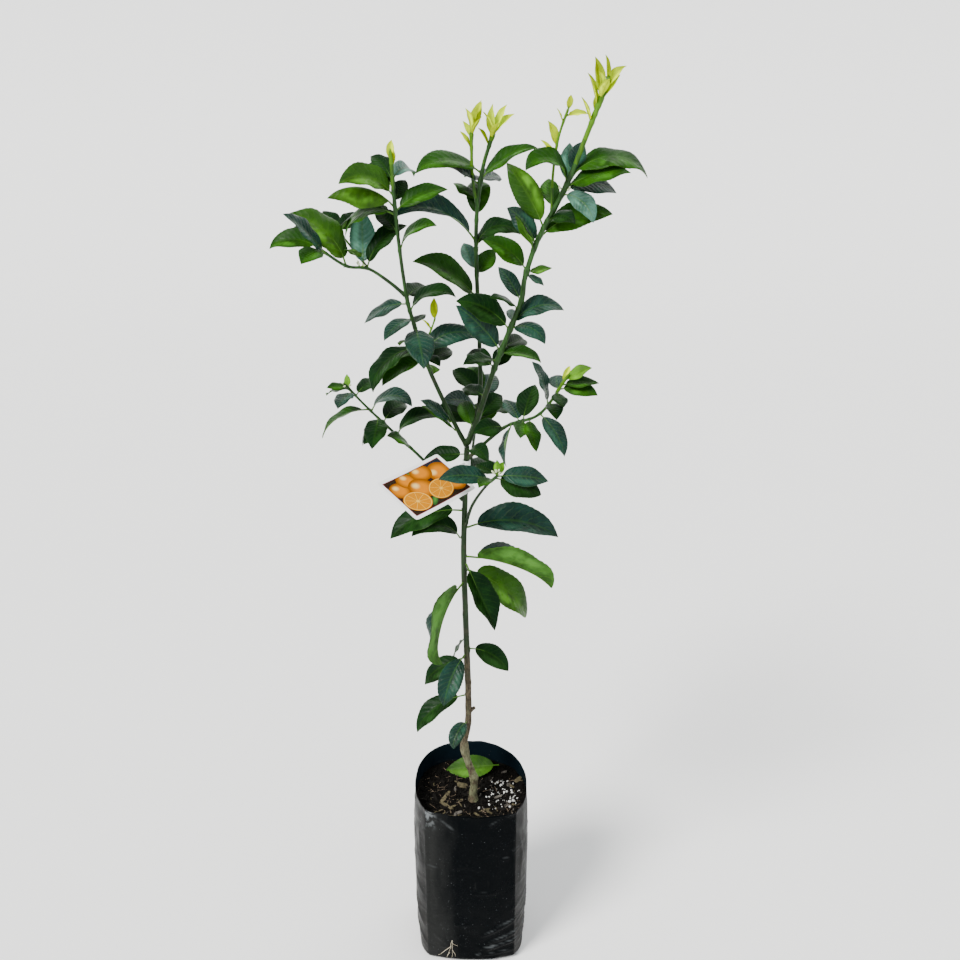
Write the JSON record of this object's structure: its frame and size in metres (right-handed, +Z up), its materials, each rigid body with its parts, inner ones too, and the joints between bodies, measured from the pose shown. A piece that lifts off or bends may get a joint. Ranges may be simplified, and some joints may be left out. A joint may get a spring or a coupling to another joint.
{
  "type": "potted honey murcott mandarin tree",
  "caption": "Young grafted mandarin tree with a slim forked trunk and long glossy leaves, growing in a black poly planter bag.",
  "frame": {"origin": "centre of the bag's flat underside", "axes": "+X right, +Y away from the viewer, +Z up"},
  "size_m": [0.4133, 0.2483, 1.216],
  "materials": {
    "bag": "black polythene film, glossy on the flat front, dusty and creased at the sides",
    "potting_mix": "dark bark mix with pale grit",
    "bark": "rough grey-brown bark, smooth and green higher up",
    "green_bark": "smooth green bark",
    "leaf": "glossy dark green leaf",
    "young_leaf": "soft yellow-green leaf",
    "tag": "printed glossy card"
  },
  "bodies": {
    "root": {"planter_bag": "bag", "potting_mix": "potting_mix", "trunk": "bark", "plant_tag": "tag", "dropped_leaf": "young_leaf", "centre_bough": "green_bark", "left_bough": "green_bark", "right_bough": "green_bark", "low_left_bough": "green_bark", "low_right_bough": "green_bark", "front_bough": "green_bark", "back_bough": "green_bark", "far_left_bough": "green_bark", "centre_foliage": "leaf", "left_middle_foliage": "leaf", "left_crown_foliage": "leaf", "far_left_foliage": "leaf", "right_middle_foliage": "leaf", "right_crown_foliage": "leaf", "right_top_foliage": "leaf", "low_left_foliage": "leaf", "low_right_foliage": "leaf", "front_foliage": "leaf", "back_foliage": "leaf", "stem_leaf_01": "leaf", "stem_leaf_02": "leaf", "stem_leaf_03": "leaf", "stem_leaf_04": "leaf", "stem_leaf_05": "leaf", "stem_leaf_06": "leaf", "stem_leaf_07": "leaf", "stem_leaf_08": "leaf", "stem_leaf_09": "leaf", "stem_leaf_10": "leaf", "stem_leaf_11": "leaf", "stem_leaf_12": "leaf", "stem_leaf_13": "leaf", "stem_leaf_14": "leaf", "stem_leaf_15": "leaf", "stem_leaf_16": "leaf", "stem_leaf_17": "leaf", "stem_leaf_18": "leaf", "stem_leaf_19": "leaf", "stem_leaf_20": "leaf", "stem_leaf_21": "leaf"}
  },
  "joints": []
}
